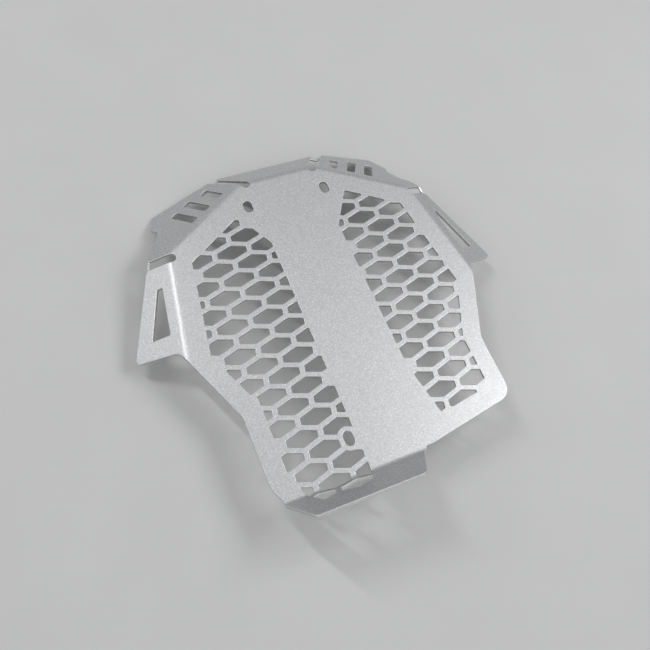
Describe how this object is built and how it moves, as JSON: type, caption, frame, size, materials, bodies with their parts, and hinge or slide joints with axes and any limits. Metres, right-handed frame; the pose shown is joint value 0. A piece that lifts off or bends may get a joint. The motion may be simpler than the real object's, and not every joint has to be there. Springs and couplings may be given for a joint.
{
  "type": "motorcycle radiator guard",
  "caption": "Folded metal guard for a motorcycle radiator: a flat panel of hexagon mesh with side wings, slotted shoulders, a folded top edge and a bottom lip.",
  "frame": {"origin": "back face of the flat panel, midway between the two upper mounting slots", "axes": "+X to the right as seen from the front, +Y up the panel, +Z out of the front face, towards the oncoming air"},
  "size_m": [0.2608, 0.2581, 0.0522],
  "materials": {
    "sheet": "satin, fine-grained natural metal with brighter cut edges"
  },
  "bodies": {
    "root": {"guard_sheet": "sheet"}
  },
  "joints": []
}
